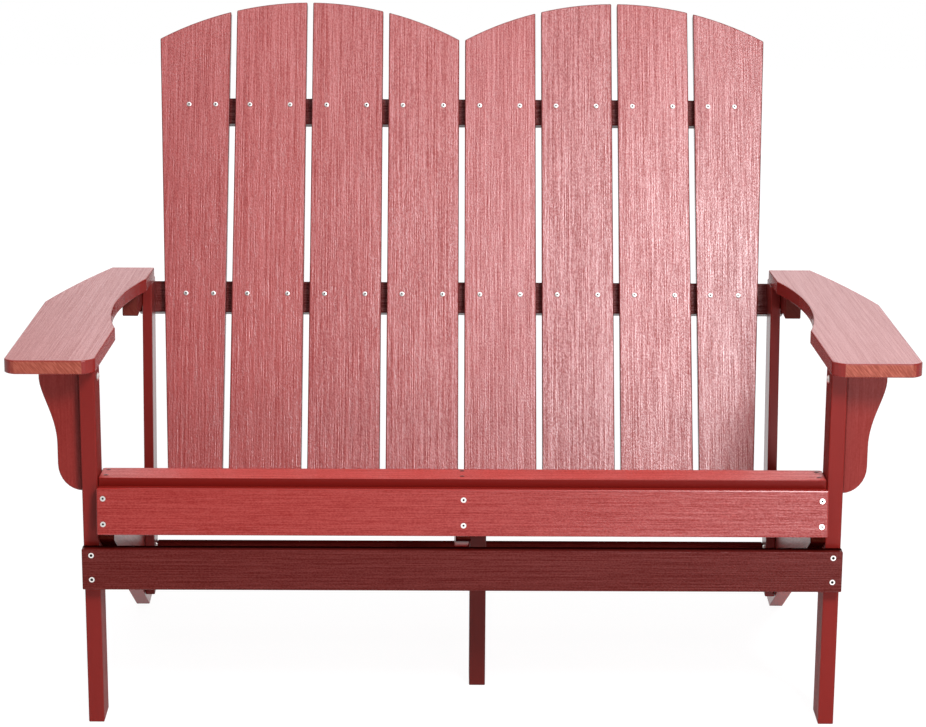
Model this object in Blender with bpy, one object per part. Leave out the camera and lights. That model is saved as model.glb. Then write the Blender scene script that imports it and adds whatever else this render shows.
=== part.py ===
"""Adirondack loveseat: a two-place garden seat screwed together from boards.

Metres, +Z up. X runs along the seat, the sitter faces -Y. Every board is drawn with Y measured
from the front faces of the front legs, and an empty moves the whole seat so that the origin lies
on the floor under the middle of its outline.
"""
import math

import bmesh
import bpy
from mathutils import Matrix, Vector

# Fits and finish
CLEARANCE = 0.0003
EDGE_RADIUS = 0.0015
EDGE_STEPS = 2
OVERRUN = 0.004

# Arms, front legs and the brackets under the arms
ARM_TOP_HEIGHT = 0.5427
ARM_THICKNESS = 0.0195
WIDTH_OVER_ARMS = 1.250
ARM_OVERHANG = 0.0425
ARM_SIDE_OVERHANG = 0.0967
ARM_REAR_COVER = 0.0294
ARM_BOARD_WIDTH = 0.1235
ARM_TOE_IN = 2.8
ARM_OUTER_TOE_IN = 2.3
ARM_TIP_WIDTH = 0.0645
ARM_TIP_INSET = 0.0014
ARM_STRAIGHT = 0.330
ARM_OUTER_BOW = 0.0042
ARM_OUTER_CHAMFER = 0.0145
ARM_INNER_CHAMFER = 0.0170
ARM_CHAMFER_RISE_SHARE = 0.85
ARM_CORNER_BOW = 0.0022
ARM_CORNER_STEPS = 4
ARM_NOTCH_FRONT = 0.180
ARM_NOTCH_LIP = 0.0060
ARM_NOTCH_LIP_RUN = 0.025
ARM_NOTCH_REAR = 0.0760
ARM_NOTCH_DEPTH = 0.0185
ARM_NOTCH_DROP = 0.0047

LEG_THICKNESS = 0.022
LEG_DEPTH = 0.054

BRACKET_THICKNESS = 0.022
BRACKET_REACH = 0.0570
BRACKET_HEIGHT_SHARE = 0.936
BRACKET_STEM_SHARE = 0.60
BRACKET_LIP_SHARE = 0.12
BRACKET_SWEEP_SHARE = 0.635
BRACKET_SWEEP_LEAD_SHARE = 0.80
BRACKET_SWEEP_STEPS = 12
BRACKET_TOE_STEPS = 8
BRACKET_TOE_SHARE = 0.21

# Sides of the seat
STRINGER_THICKNESS = 0.021
STRINGER_SPLAY = 0.72
STRINGER_FRONT_DROP = 0.0870
STRINGER_TOE_REACH = 0.0756
STRINGER_FOOT_LENGTH = 0.072
STRINGER_HEEL_RISE = 0.050
STRINGER_HEEL_RUN = 0.014
STRINGER_SHOULDER_RUN = 0.020
CENTRE_STRINGER_OFFSET = 0.0010
CENTRE_FRONT_DROP = 0.0849
CENTRE_LEG_THICKNESS = 0.0235
CENTRE_LEG_FRONT = 0.1444
CENTRE_LEG_OVERLAP = 0.060

# Front of the seat
APRON_HEIGHT = 0.0596
APRON_STRINGER_GAP = 0.0052
APRON_THICKNESS = 0.018
APRON_OVERHANG = 0.001
NOSE_DROP = 0.07645
NOSE_FRONT = 0.027
NOSE_HEIGHT = 0.0660
NOSE_THICKNESS = 0.018
NOSE_TILT = 7.5

# Seat boards
SEAT_BOARD_COUNT = 6
SEAT_TOP_FRONT_HEIGHT = 0.3628
SEAT_BOARD_SETBACK = 0.0021
SEAT_BOARD_THICKNESS = 0.0135
FIRST_BOARD_WIDTH = 0.055
FIRST_BOARD_SLOPE = 3.0
SEAT_REAR_GAP = 0.0054
SEAT_GAP = 0.008
SEAT_SLOPE = 20.0
SEAT_END_GAP = 0.0006

# Back
BACK_LEAN = 26.5
BACK_FRONT_AT_FLOOR = 0.2624
SLAT_COUNT = 8
BACK_FLARE = 0.0003
SLAT_GAP = 0.0090
SLAT_THICKNESS = 0.018
SLAT_FOOT_GAP = 0.0034
SLAT_PEAK = 1.0297
CREST_DROP = 0.0605
OUTER_TAPER = 0.0395
CREST_STEPS = 7

UPPER_RAIL_DROP = 0.1937
UPPER_RAIL_HEIGHT = 0.0416
UPPER_RAIL_INSET = 0.012
ARM_RAIL_DROP = 0.0101
ARM_RAIL_HEIGHT = 0.0490
ARM_RAIL_OVERHANG = 0.0100
ARM_RAIL_LET_IN = 0.0064
LOWER_RAIL_HEIGHT = 0.0490
LOWER_RAIL_REVEAL = 0.0240
RAIL_THICKNESS = 0.018

# Rear posts, the stretcher between them and the cleats that join them to the arms
POST_THICKNESS = 0.0148
POST_DEPTH = 0.054
POST_LEAN = 7.1
POST_FOOT = 0.0412
STRETCHER_HEIGHT = 0.049
STRETCHER_THICKNESS = 0.018
STRETCHER_LET_IN = 0.0055
CLEAT_THICKNESS = 0.0237
CLEAT_HEIGHT = 0.0342
CLEAT_SETBACK = 0.005
CLEAT_LENGTH = 0.088

# Screws: a flat head set flush, and a pan head that stands proud
SCREW_SIDES = 14
FLAT_HEAD_RADIUS = 0.0039
FLAT_HEAD_DEPTH = 0.0024
FLAT_SHANK_RADIUS = 0.0020
FLAT_SCREW_LENGTH = 0.038
FLAT_SOCKET_RADIUS = 0.0015
FLAT_SOCKET_DEPTH = 0.0020
FLAT_HEAD_SINK = 0.0004
PAN_HEAD_RADIUS = 0.0046
WIDE_HEAD_RADIUS = 0.0060
PAN_HEAD_HEIGHT = 0.0026
PAN_HEAD_CROWN_SHARE = 0.72
PAN_SHANK_RADIUS = 0.0021
PAN_SOCKET_RADIUS = 0.0018
PAN_SOCKET_DEPTH = 0.0014
PAN_SCREW_LENGTH = 0.034
SCREW_TIP = 0.004

APRON_SCREW_RISE = 0.0147
APRON_SCREW_DROP = 0.0093
APRON_SCREW_SHIFT = 0.0012
NOSE_SCREW_INSET = 0.0150
NOSE_SCREW_END_INSET = 0.0085
BRACKET_SCREW_DROP = 0.0215
LEG_SCREW_DROP = 0.025
LEG_SCREW_PITCH = 0.032
POST_SCREW_RISE = 0.0313
POST_SCREW_PITCH = 0.040
CENTRE_SCREW_PITCH = 0.028

# Sizes that follow from the ones above
LEAN = math.radians(BACK_LEAN)
SLOPE = math.radians(SEAT_SLOPE)
FIRST_SLOPE = math.radians(FIRST_BOARD_SLOPE)
TILT = math.radians(NOSE_TILT)
POST_ANGLE = math.radians(POST_LEAN)
SPLAY = math.radians(STRINGER_SPLAY)
ARM_UNDERSIDE = ARM_TOP_HEIGHT - ARM_THICKNESS
LEG_OUTER = WIDTH_OVER_ARMS / 2 - ARM_SIDE_OVERHANG
LEG_INNER = LEG_OUTER - LEG_THICKNESS
STRINGER_OUTER = LEG_INNER - CLEARANCE
SPLAY_SHIFT = STRINGER_THICKNESS * math.sin(SPLAY)
SEAT_HALF_LENGTH = LEG_INNER - SEAT_END_GAP
EDGE_TRIM = EDGE_RADIUS * (1 - math.sqrt(1 / 2)) * (math.sin(LEAN) + math.cos(LEAN))
DEPTH_REAR = (BACK_FRONT_AT_FLOOR + SLAT_PEAK * math.sin(LEAN) + SLAT_THICKNESS * math.cos(LEAN)
              - EDGE_TRIM)
DEPTH_MIDDLE = (DEPTH_REAR - ARM_OVERHANG) / 2
SEAT_BEND = SEAT_BOARD_SETBACK + FIRST_BOARD_WIDTH * math.cos(FIRST_SLOPE)
SEAT_EDGE_FRONT = SEAT_TOP_FRONT_HEIGHT - SEAT_BOARD_THICKNESS / math.cos(FIRST_SLOPE) - CLEARANCE
NOSE_BOTTOM = SEAT_TOP_FRONT_HEIGHT - NOSE_DROP
NOSE_REAR = NOSE_THICKNESS * math.cos(TILT) - NOSE_FRONT
STRINGER_FRONT_HEIGHT = SEAT_TOP_FRONT_HEIGHT - STRINGER_FRONT_DROP
CENTRE_FRONT_HEIGHT = SEAT_TOP_FRONT_HEIGHT - CENTRE_FRONT_DROP


def seat_edge(y):
    """Height of the stringers' upper edge: nearly level under the first board, then sloping."""
    if y <= SEAT_BEND:
        return SEAT_EDGE_FRONT - y * math.tan(FIRST_SLOPE)
    return (SEAT_EDGE_FRONT - SEAT_BEND * math.tan(FIRST_SLOPE)
            - (y - SEAT_BEND) * math.tan(SLOPE))


def back_point(along, depth=0.0):
    """Y and Z on the back, a length up from the floor and a depth behind its front face."""
    return (BACK_FRONT_AT_FLOOR + along * math.sin(LEAN) + depth * math.cos(LEAN),
            along * math.cos(LEAN) - depth * math.sin(LEAN))


def back_length(z, depth):
    """Length up the back of the point that lies at a height and a depth behind its front face."""
    return (z + depth * math.sin(LEAN)) / math.cos(LEAN)


def back_meets_seat(depth):
    """Length up the back at which a plane behind its front face meets the stringers' upper edge."""
    low, high = 0.0, SLAT_PEAK
    for _ in range(40):
        middle = (low + high) / 2
        y, z = back_point(middle, depth)
        if z < seat_edge(y):
            low = middle
        else:
            high = middle
    return high


RAIL_DEPTH = SLAT_THICKNESS + CLEARANCE
SLAT_START = back_meets_seat(SLAT_THICKNESS) + SLAT_FOOT_GAP
UPPER_RAIL_START = SLAT_PEAK - UPPER_RAIL_DROP
ARM_RAIL_START = back_length(ARM_UNDERSIDE - ARM_RAIL_DROP, RAIL_DEPTH) - ARM_RAIL_HEIGHT
LOWER_RAIL_START = back_meets_seat(RAIL_DEPTH) + LOWER_RAIL_REVEAL - LOWER_RAIL_HEIGHT
RAIL_CORNER = back_point(ARM_RAIL_START, RAIL_DEPTH)
POST_FRONT = (RAIL_CORNER[0] + ARM_RAIL_LET_IN - POST_DEPTH / math.cos(POST_ANGLE)
              - RAIL_CORNER[1] * math.tan(POST_ANGLE))
STRINGER_TOE = POST_FRONT + STRINGER_TOE_REACH


def post_front(z):
    return POST_FRONT + z * math.tan(POST_ANGLE)


def nose_back(z):
    """Y of the rear face of the nose board, carried on in its own plane."""
    return NOSE_REAR + (z - NOSE_BOTTOM) * math.tan(TILT)


def post_point(along, depth):
    """Y and Z a length up the posts' rear faces and a depth in front of them."""
    rear = POST_FRONT + POST_DEPTH / math.cos(POST_ANGLE)
    return (rear + along * math.sin(POST_ANGLE) - depth * math.cos(POST_ANGLE),
            along * math.cos(POST_ANGLE) + depth * math.sin(POST_ANGLE))


def post_meets_slope(depth, y, z):
    """Length up the posts at which a plane in front of their rear faces meets the line that
    falls with the seat from (y, z)."""
    foot_y, foot_z = post_point(0, depth)
    return ((z - foot_z - (foot_y - y) * math.tan(SLOPE))
            / (math.cos(POST_ANGLE) + math.sin(POST_ANGLE) * math.tan(SLOPE)))


def stringer_outer(y):
    """X of the right stringer's outer face, which stands further out towards the back."""
    return STRINGER_OUTER + (y - LEG_DEPTH) * math.tan(SPLAY)


def stringer_underside(y):
    front_y = nose_back(STRINGER_FRONT_HEIGHT) + CLEARANCE
    return STRINGER_FRONT_HEIGHT * (STRINGER_TOE - y) / (STRINGER_TOE - front_y)


def centre_underside(y):
    """Height of the centre stringer's lower edge, which is parallel to the sloping seat."""
    return CENTRE_FRONT_HEIGHT - (y - CENTRE_FRONT) * math.tan(SLOPE)


CENTRE_FRONT = nose_back(CENTRE_FRONT_HEIGHT) + CLEARANCE
POST_OUTER = (stringer_outer(post_front(POST_FOOT)) - STRINGER_THICKNESS / math.cos(SPLAY)
              - CLEARANCE)
POST_INNER = POST_OUTER - POST_THICKNESS
SLAT_WIDTH = (2 * (POST_INNER + BACK_FLARE) - SLAT_GAP * (SLAT_COUNT - 1)) / SLAT_COUNT
SLAT_PITCH = SLAT_WIDTH + SLAT_GAP
CREST_HALF_SPAN = SLAT_PITCH * SLAT_COUNT / 4 - SLAT_GAP / 2
CREST_RADIUS = (CREST_HALF_SPAN ** 2 + CREST_DROP ** 2) / (2 * CREST_DROP)
ARM_RAIL_LENGTH = 2 * (POST_OUTER + ARM_RAIL_OVERHANG)
STRETCHER_TOP = (post_meets_slope(STRETCHER_THICKNESS, CENTRE_FRONT, CENTRE_FRONT_HEIGHT)
                 + STRETCHER_LET_IN)
ARM_REAR = post_front(ARM_UNDERSIDE) + ARM_REAR_COVER
CLEAT_FRONT = ARM_REAR - CLEAT_SETBACK - CLEAT_LENGTH
APRON_BOTTOM = stringer_underside(0) - APRON_STRINGER_GAP - APRON_HEIGHT
LEG_SCREW_TOP = seat_edge(LEG_DEPTH / 2) - LEG_SCREW_DROP
BRACKET_HEIGHT = BRACKET_HEIGHT_SHARE * (ARM_UNDERSIDE - LEG_SCREW_TOP - PAN_HEAD_RADIUS)
SEAT_RUN = (back_point(back_meets_seat(0))[0] - SEAT_BEND) / math.cos(SLOPE)
SEAT_BOARD_WIDTH = (SEAT_RUN - SEAT_REAR_GAP) / (SEAT_BOARD_COUNT - 1) - SEAT_GAP

for old in list(bpy.data.objects):
    bpy.data.objects.remove(old, do_unlink=True)

frame = bpy.data.objects.new("loveseat_frame", None)
bpy.context.collection.objects.link(frame)
frame.location = (0, -DEPTH_MIDDLE, 0)


def make_material(name, colour, roughness, metallic):
    material = bpy.data.materials.new(name)
    material.use_nodes = True
    shader = material.node_tree.nodes["Principled BSDF"]
    shader.inputs["Base Color"].default_value = (*colour, 1)
    shader.inputs["Roughness"].default_value = roughness
    shader.inputs["Metallic"].default_value = metallic
    return material


BOARD_RED = (0.40, 0.075, 0.065)
FRAME_RED = (0.29, 0.045, 0.040)
STEEL = (0.62, 0.61, 0.59)


def finish(body, name, colour, roughness, metallic):
    """Name a finished body, give it its own material and hang it on the frame."""
    body.name = name
    body.data.name = name
    body.data.materials.clear()
    body.data.materials.append(make_material(name + "_finish", colour, roughness, metallic))
    body.parent = frame
    return body


def body_from(bm):
    mesh = bpy.data.meshes.new("body")
    bm.to_mesh(mesh)
    bm.free()
    body = bpy.data.objects.new("body", mesh)
    bpy.context.collection.objects.link(body)
    return body


def extrude_outline(points, thickness):
    """A plate whose outline lies in local XY and whose thickness runs along local +Z."""
    bm = bmesh.new()
    base = bm.faces.new([bm.verts.new((x, y, 0)) for x, y in points])
    grown = bmesh.ops.extrude_face_region(bm, geom=[base])
    tops = [part for part in grown["geom"] if isinstance(part, bmesh.types.BMVert)]
    bmesh.ops.translate(bm, verts=tops, vec=(0, 0, thickness))
    bmesh.ops.recalc_face_normals(bm, faces=bm.faces)
    return body_from(bm)


def soften(body):
    """Round the long edges of a board."""
    bevel = body.modifiers.new("softened_edges", "BEVEL")
    bevel.width = EDGE_RADIUS
    bevel.segments = EDGE_STEPS
    bevel.limit_method = "ANGLE"
    bevel.angle_limit = math.radians(25)
    for polygon in body.data.polygons:
        polygon.use_smooth = True
    body.data.set_sharp_from_angle(angle=math.radians(40))
    return body


def axes(origin, x_axis, y_axis):
    """Placement of a plate: its local X and Y run along the two given directions."""
    x_axis = Vector(x_axis).normalized()
    y_axis = Vector(y_axis).normalized()
    z_axis = x_axis.cross(y_axis)
    turn = Matrix((x_axis, y_axis, z_axis)).transposed().to_4x4()
    return Matrix.Translation(Vector(origin)) @ turn


def board(name, outline, thickness, placement, colour=BOARD_RED):
    body = soften(extrude_outline(outline, thickness))
    body.matrix_local = placement
    return finish(body, name, colour, 0.55, 0.0)


def side_board(name, outline, thickness, inner_x, side, colour=FRAME_RED):
    """A board on edge: its outline is (Y, Z) and it grows outwards from inner_x on one side."""
    start = inner_x if side > 0 else -inner_x - thickness
    return board(name, outline, thickness, axes((start, 0, 0), (0, 1, 0), (0, 0, 1)), colour)


def box_outline(x0, x1, y0, y1):
    return [(x0, y0), (x1, y0), (x1, y1), (x0, y1)]


def arc(start, end, bow, steps):
    """Points after start, up to end, on a circle that stands bow off the chord, to its right."""
    start, end = Vector(start), Vector(end)
    chord = end - start
    half = chord.length / 2
    radius = (half * half + bow * bow) / (2 * bow)
    right = Vector((chord.y, -chord.x)).normalized()
    centre = (start + end) / 2 - right * (radius - bow)
    reach = math.asin(half / radius)
    points = []
    for step in range(1, steps + 1):
        turn = reach * (2 * step / steps - 1)
        points.append(tuple(centre + right * radius * math.cos(turn)
                            + chord.normalized() * radius * math.sin(turn)))
    return points


def back_placement(along, depth):
    y, z = back_point(along, depth)
    return axes((0, y, z), (1, 0, 0), (0, math.sin(LEAN), math.cos(LEAN)))


# Screws

def turned(profile, sides):
    """A body turned about local Z from (radius, height) points that run from the top down."""
    bm = bmesh.new()
    rings = []
    for radius, height in profile:
        if radius == 0:
            rings.append([bm.verts.new((0, 0, height))])
            continue
        ring = []
        for side in range(sides):
            angle = 2 * math.pi * (side + 1 / 2) / sides
            ring.append(bm.verts.new((radius * math.cos(angle), radius * math.sin(angle), height)))
        rings.append(ring)
    for upper, lower in zip(rings, rings[1:]):
        for side in range(sides):
            after = (side + 1) % sides
            corners = [upper[side % len(upper)], lower[side % len(lower)],
                       lower[after % len(lower)], upper[after % len(upper)]]
            bm.faces.new(list(dict.fromkeys(corners)))
    bmesh.ops.recalc_face_normals(bm, faces=bm.faces)
    return body_from(bm)


def flat_profile():
    return [(0, -FLAT_HEAD_SINK - FLAT_SOCKET_DEPTH),
            (FLAT_SOCKET_RADIUS, -FLAT_HEAD_SINK - FLAT_SOCKET_DEPTH),
            (FLAT_SOCKET_RADIUS, -FLAT_HEAD_SINK),
            (FLAT_HEAD_RADIUS, -FLAT_HEAD_SINK),
            (FLAT_SHANK_RADIUS, -FLAT_HEAD_SINK - FLAT_HEAD_DEPTH),
            (FLAT_SHANK_RADIUS, SCREW_TIP - FLAT_SCREW_LENGTH), (0, -FLAT_SCREW_LENGTH)]


def flat_bore():
    return [(0, OVERRUN), (FLAT_HEAD_RADIUS + CLEARANCE, OVERRUN),
            (FLAT_HEAD_RADIUS + CLEARANCE, -FLAT_HEAD_SINK),
            (FLAT_SHANK_RADIUS + CLEARANCE, -FLAT_HEAD_SINK - FLAT_HEAD_DEPTH - CLEARANCE),
            (FLAT_SHANK_RADIUS + CLEARANCE, -FLAT_SCREW_LENGTH - CLEARANCE),
            (0, -FLAT_SCREW_LENGTH - CLEARANCE)]


def pan_profile(radius):
    return [(0, CLEARANCE + PAN_HEAD_HEIGHT - PAN_SOCKET_DEPTH),
            (PAN_SOCKET_RADIUS, CLEARANCE + PAN_HEAD_HEIGHT - PAN_SOCKET_DEPTH),
            (PAN_SOCKET_RADIUS, CLEARANCE + PAN_HEAD_HEIGHT),
            (radius * PAN_HEAD_CROWN_SHARE, CLEARANCE + PAN_HEAD_HEIGHT),
            (radius, CLEARANCE + PAN_HEAD_HEIGHT * (1 - PAN_HEAD_CROWN_SHARE)),
            (radius, CLEARANCE), (PAN_SHANK_RADIUS, CLEARANCE),
            (PAN_SHANK_RADIUS, SCREW_TIP - PAN_SCREW_LENGTH), (0, -PAN_SCREW_LENGTH)]


def pan_bore():
    return [(0, OVERRUN), (PAN_SHANK_RADIUS + CLEARANCE, OVERRUN),
            (PAN_SHANK_RADIUS + CLEARANCE, -PAN_SCREW_LENGTH - CLEARANCE),
            (0, -PAN_SCREW_LENGTH - CLEARANCE)]


def screw_placement(point, direction):
    """Local +Z of the screw points back out of the board, against the driving direction."""
    out = -Vector(direction).normalized()
    return Matrix.Translation(Vector(point)) @ out.to_track_quat("Z", "X").to_matrix().to_4x4()


def drive(name, kind, point, direction, boards):
    """Set one screw through boards, and bore them for it."""
    shapes = {"flat": (flat_profile(), flat_bore()), "pan": (pan_profile(PAN_HEAD_RADIUS), pan_bore()),
              "wide": (pan_profile(WIDE_HEAD_RADIUS), pan_bore())}
    profile, bore = shapes[kind]
    placement = screw_placement(point, direction)
    screw = turned(profile, SCREW_SIDES)
    for polygon in screw.data.polygons:
        polygon.use_smooth = True
    screw.data.set_sharp_from_angle(angle=math.radians(35))
    screw.matrix_local = placement
    finish(screw, name, STEEL, 0.32, 1.0)
    cutter = turned(bore, SCREW_SIDES)
    cutter.name = name + "_bore"
    cutter.parent = frame
    cutter.matrix_local = placement
    cutter.hide_render = True
    cutter.display_type = "WIRE"
    for body in boards:
        cut = body.modifiers.new("bore", "BOOLEAN")
        cut.operation = "DIFFERENCE"
        cut.solver = "EXACT"
        cut.object = cutter


# Front legs, arms and brackets

def build_leg(side, label):
    outline = box_outline(0, LEG_DEPTH, 0, ARM_UNDERSIDE - CLEARANCE)
    return side_board("front_leg_" + label, outline, LEG_THICKNESS, LEG_INNER, side)


def arm_outline():
    """Plan of the right arm: straight front part, a hollow inside, and a narrow tip at the back."""
    toe = math.tan(math.radians(ARM_TOE_IN))
    front = -ARM_OVERHANG
    outer = WIDTH_OVER_ARMS / 2
    inner = outer - ARM_BOARD_WIDTH
    rise = ARM_CHAMFER_RISE_SHARE
    straight_end = front + ARM_STRAIGHT
    tip_inner = POST_INNER - ARM_TIP_INSET
    tip_outer = tip_inner + ARM_TIP_WIDTH
    notch_front = front + ARM_NOTCH_FRONT
    lip_inner = inner - toe * ARM_NOTCH_FRONT
    front_inner = (inner + ARM_INNER_CHAMFER, front)
    front_outer = (outer - ARM_OUTER_CHAMFER, front)
    points = [front_inner, front_outer]
    points += arc(front_outer, (outer, front + ARM_OUTER_CHAMFER * rise), ARM_CORNER_BOW,
                  ARM_CORNER_STEPS)
    outer_bend = (outer - math.tan(math.radians(ARM_OUTER_TOE_IN)) * ARM_STRAIGHT, straight_end)
    points.append(outer_bend)
    points += arc(outer_bend, (tip_outer, ARM_REAR), ARM_OUTER_BOW, 6)
    points.append((tip_inner, ARM_REAR))
    hollow_rear = (tip_inner + ARM_NOTCH_DROP, ARM_REAR - ARM_NOTCH_REAR)
    hollow_front = (lip_inner + ARM_NOTCH_LIP, notch_front + ARM_NOTCH_LIP_RUN)
    points.append(hollow_rear)
    hollow = arc(hollow_front, hollow_rear, ARM_NOTCH_DEPTH, 12)[:-1]
    points += reversed(hollow)
    side_front = (inner, front + ARM_INNER_CHAMFER * rise)
    points += [hollow_front, (lip_inner, notch_front), side_front]
    points += arc(side_front, front_inner, ARM_CORNER_BOW, ARM_CORNER_STEPS)[:-1]
    return points


def build_arm(side, label):
    points = arm_outline()
    if side < 0:
        points = [(-x, y) for x, y in reversed(points)]
    placement = axes((0, 0, ARM_UNDERSIDE), (1, 0, 0), (0, 1, 0))
    return board("arm_" + label, points, ARM_THICKNESS, placement)


def bracket_outline():
    """Front view of the right bracket, from the top of its straight back, going outwards."""
    reach = BRACKET_REACH
    height = BRACKET_HEIGHT
    stem = reach * BRACKET_STEM_SHARE
    lip = height * BRACKET_LIP_SHARE
    sweep = height * BRACKET_SWEEP_SHARE
    toe = height * BRACKET_TOE_SHARE
    points = [(0, 0), (reach, 0), (reach, -lip)]
    for step in range(1, BRACKET_SWEEP_STEPS + 1):
        part = step / BRACKET_SWEEP_STEPS
        ease = (1 - math.cos(math.pi * part ** BRACKET_SWEEP_LEAD_SHARE)) / 2
        points.append((reach - (reach - stem) * ease, -lip - (sweep - lip) * part))
    points.append((stem, -height + toe))
    for step in range(1, BRACKET_TOE_STEPS + 1):
        turn = step / BRACKET_TOE_STEPS * math.pi / 2
        points.append((stem * math.cos(turn), -height + toe - toe * math.sin(turn)))
    return points


def build_bracket(side, label):
    points = [(side * x, z) for x, z in bracket_outline()]
    middle = (LEG_DEPTH + BRACKET_THICKNESS) / 2
    origin = (side * (LEG_OUTER + CLEARANCE), middle, ARM_UNDERSIDE - CLEARANCE)
    placement = axes(origin, (1, 0, 0), (0, 0, 1))
    return board("arm_bracket_" + label, points, BRACKET_THICKNESS, placement, FRAME_RED)


# Sides of the seat

def rail_seat():
    """The notch that takes the lower rail, from its rear top corner to its front top corner."""
    front_depth = SLAT_THICKNESS - SPLAY_SHIFT
    rear_depth = SLAT_THICKNESS + RAIL_THICKNESS + 2 * CLEARANCE
    floor = LOWER_RAIL_START - CLEARANCE
    return [back_point(back_meets_seat(rear_depth), rear_depth), back_point(floor, rear_depth),
            back_point(floor, front_depth), back_point(back_meets_seat(front_depth), front_depth)]


def stringer_top():
    """The upper edge in front of the notch, from the bend to the front end."""
    front = nose_back(seat_edge(0)) + CLEARANCE
    return [(SEAT_BEND, seat_edge(SEAT_BEND)), (front, seat_edge(front))]


def side_stringer_outline():
    notch = rail_seat()
    shoulder_y = notch[0][0] + STRINGER_SHOULDER_RUN
    heel = STRINGER_TOE + STRINGER_FOOT_LENGTH
    front_low = STRINGER_FRONT_HEIGHT
    return [(nose_back(front_low) + CLEARANCE, front_low), (STRINGER_TOE, 0), (heel, 0),
            (heel + STRINGER_HEEL_RUN, STRINGER_HEEL_RISE), (shoulder_y, seat_edge(shoulder_y)),
            *notch, *stringer_top()]


def centre_stringer_outline():
    """A board of even height whose rear end is let down over the stretcher."""
    in_front = STRETCHER_THICKNESS + CLEARANCE
    low = post_meets_slope(in_front, CENTRE_FRONT, CENTRE_FRONT_HEIGHT)
    high = post_meets_slope(0, SEAT_BEND, seat_edge(SEAT_BEND))
    rest = STRETCHER_TOP + CLEARANCE
    return [(CENTRE_FRONT, CENTRE_FRONT_HEIGHT), post_point(low, in_front),
            post_point(rest, in_front), post_point(rest, 0), post_point(high, 0),
            *rail_seat(), *stringer_top()]


def build_side_stringer(side, label):
    """Its outer front edge lies against the leg; towards the back it stands further out."""
    outer = Vector((side * stringer_outer(0), 0, 0))
    inwards = Vector((-side * math.cos(SPLAY), math.sin(SPLAY), 0))
    origin = outer if side < 0 else outer + inwards * STRINGER_THICKNESS
    along = (side * math.sin(SPLAY), math.cos(SPLAY), 0)
    return board("stringer_" + label, side_stringer_outline(), STRINGER_THICKNESS,
                 axes(origin, along, (0, 0, 1)), FRAME_RED)


def build_centre_stringer():
    start = CENTRE_STRINGER_OFFSET - STRINGER_THICKNESS / 2
    return side_board("stringer_centre", centre_stringer_outline(), STRINGER_THICKNESS, start, 1)


def build_centre_leg():
    start = CENTRE_STRINGER_OFFSET + STRINGER_THICKNESS / 2 + CLEARANCE
    rear = CENTRE_LEG_FRONT + LEG_DEPTH
    top_front = centre_underside(CENTRE_LEG_FRONT) + CENTRE_LEG_OVERLAP
    top_rear = top_front - LEG_DEPTH * math.tan(SLOPE)
    outline = [(CENTRE_LEG_FRONT, 0), (rear, 0), (rear, top_rear), (CENTRE_LEG_FRONT, top_front)]
    return side_board("centre_leg", outline, CENTRE_LEG_THICKNESS, start, 1)


# Front of the seat

def build_apron():
    half = LEG_OUTER + APRON_OVERHANG
    outline = box_outline(-half, half, 0, APRON_HEIGHT)
    placement = axes((0, -CLEARANCE, APRON_BOTTOM), (1, 0, 0), (0, 0, 1))
    return board("apron", outline, APRON_THICKNESS, placement, FRAME_RED)


def nose_axis():
    return Vector((0, math.sin(TILT), math.cos(TILT)))


def build_nose():
    outline = box_outline(-STRINGER_OUTER, STRINGER_OUTER, 0, NOSE_HEIGHT)
    rear = (0, NOSE_REAR, NOSE_BOTTOM)
    return board("nose_board", outline, NOSE_THICKNESS, axes(rear, (1, 0, 0), nose_axis()))


# Seat boards

def build_seat_board(number, y, z, slope, width):
    """One board whose underside starts at (y, z) and runs down to the back."""
    outline = box_outline(-SEAT_HALF_LENGTH, SEAT_HALF_LENGTH, 0, width)
    along = (0, math.cos(slope), -math.sin(slope))
    placement = axes((0, y, z), (1, 0, 0), along)
    return board("seat_board_%d" % number, outline, SEAT_BOARD_THICKNESS, placement)


def build_seat():
    lift = CLEARANCE
    boards = [build_seat_board(1, SEAT_BOARD_SETBACK, seat_edge(SEAT_BOARD_SETBACK) + lift,
                               FIRST_SLOPE, FIRST_BOARD_WIDTH)]
    y = SEAT_BEND + SEAT_GAP
    for number in range(2, SEAT_BOARD_COUNT + 1):
        boards.append(build_seat_board(number, y, seat_edge(y) + lift / math.cos(SLOPE), SLOPE,
                                       SEAT_BOARD_WIDTH))
        y += (SEAT_BOARD_WIDTH + SEAT_GAP) * math.cos(SLOPE)
    return boards


# Back

def crest(x):
    """Length up the back at which the two round crests cut the slats."""
    offset = abs(x) - SLAT_PITCH * SLAT_COUNT / 4
    return SLAT_PEAK - CREST_RADIUS + math.sqrt(max(CREST_RADIUS ** 2 - offset ** 2, 0))


def slat_outline(number):
    left = (number - 1 - SLAT_COUNT / 2) * SLAT_PITCH + SLAT_GAP / 2
    right = left + SLAT_WIDTH
    taper = OUTER_TAPER * (SLAT_PEAK - CREST_DROP - SLAT_START)
    low_left = left + (taper if number == 1 else 0)
    low_right = right - (taper if number == SLAT_COUNT else 0)
    points = [(low_left, SLAT_START), (low_right, SLAT_START)]
    for step in range(CREST_STEPS + 1):
        x = right + (left - right) * step / CREST_STEPS
        points.append((x, crest(x)))
    return points


def build_slats():
    slats = []
    for number in range(1, SLAT_COUNT + 1):
        outline = slat_outline(number)
        placement = back_placement(0, SLAT_THICKNESS)
        slats.append(board("back_slat_%d" % number, outline, SLAT_THICKNESS, placement))
    return slats


def build_rail(name, start, height, half_length):
    outline = box_outline(-half_length, half_length, start, start + height)
    placement = back_placement(0, SLAT_THICKNESS + CLEARANCE + RAIL_THICKNESS)
    return board(name, outline, RAIL_THICKNESS, placement, FRAME_RED)


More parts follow.
